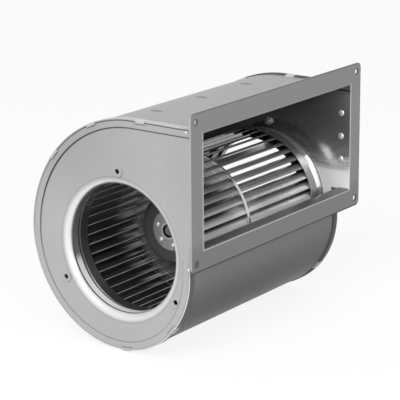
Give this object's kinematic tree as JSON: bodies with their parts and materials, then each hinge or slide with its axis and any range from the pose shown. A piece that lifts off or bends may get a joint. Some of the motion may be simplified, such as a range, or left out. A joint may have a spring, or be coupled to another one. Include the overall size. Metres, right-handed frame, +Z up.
{
  "type": "centrifugal blower",
  "caption": "Double-inlet centrifugal blower: sheet-steel scroll casing with a rectangular outlet flange, drum impeller and external-rotor DC motor.",
  "frame": {"origin": "middle of the outlet flange's front face, which is also the middle of its four holes", "axes": "-Y is the way the air leaves the outlet; +X runs along the shaft from the plain inlet to the motor bracket's side; +Z is up"},
  "size_m": [0.256, 0.1843, 0.2212],
  "materials": {
    "flange_steel": "galvanised, satin",
    "wall_steel": "galvanised, satin",
    "wrap_steel": "galvanised, satin",
    "impeller_steel": "galvanised, satin",
    "bracket_steel": "zinc plated",
    "rivet_steel": "zinc plated, bright",
    "screw_zinc": "zinc plated, bright",
    "hub_plate_zinc": "zinc plated, matt",
    "hub_steel": "turned",
    "clip_steel": "blackened spring steel",
    "bearing_steel": "ground and polished",
    "core_steel": "laminated sheet edges",
    "bell_paint": "dark dip coat",
    "cast_alloy": "die cast",
    "magnet_ferrite": "bonded ferrite, matt",
    "coil_copper": "enamelled copper wire",
    "insulator_plastic": "moulded",
    "board_laminate": "lacquered laminate",
    "black_plastic": "moulded",
    "grommet_rubber": "moulded"
  },
  "bodies": {
    "housing": {"outlet_flange": "flange_steel", "left_side_wall": "wall_steel", "right_side_wall": "wall_steel", "scroll_wrap": "wrap_steel", "cutoff_tongue": "wrap_steel", "tongue_rivets": "rivet_steel", "left_collar_rivets": "rivet_steel", "right_collar_rivets": "rivet_steel", "motor_bracket": "bracket_steel", "bracket_screws": "screw_zinc", "bracket_nuts": "screw_zinc", "motor_carrier": "cast_alloy", "motor_screws": "screw_zinc", "lead_grommet": "grommet_rubber", "bearing_cap": "black_plastic", "stator_core": "core_steel", "front_insulator": "insulator_plastic", "rear_insulator": "insulator_plastic", "stator_coils": "coil_copper", "circuit_board": "board_laminate", "board_components": "black_plastic", "front_bearing_outer": "bearing_steel", "rear_bearing_outer": "bearing_steel", "preload_washer": "bearing_steel"},
    "rotor": {"rotor_bell": "bell_paint", "magnet_ring": "magnet_ferrite", "rotor_hub": "hub_steel", "hub_plate": "hub_plate_zinc", "hub_rivets": "rivet_steel", "rotor_shaft": "bearing_steel", "front_shaft_clip": "clip_steel", "rear_shaft_clip": "clip_steel", "front_bearing_inner": "bearing_steel", "rear_bearing_inner": "bearing_steel", "bearing_balls": "bearing_steel", "impeller_disc": "impeller_steel", "left_blades": "impeller_steel", "right_blades": "impeller_steel", "left_end_ring": "impeller_steel", "right_end_ring": "impeller_steel"}
  },
  "joints": [
    {"name": "rotor_spin", "type": "hinge", "parent": "housing", "child": "rotor", "pos_m": [0, 0.0885, -0.0654], "axis": [1, 0, 0], "continuous": true}
  ]
}
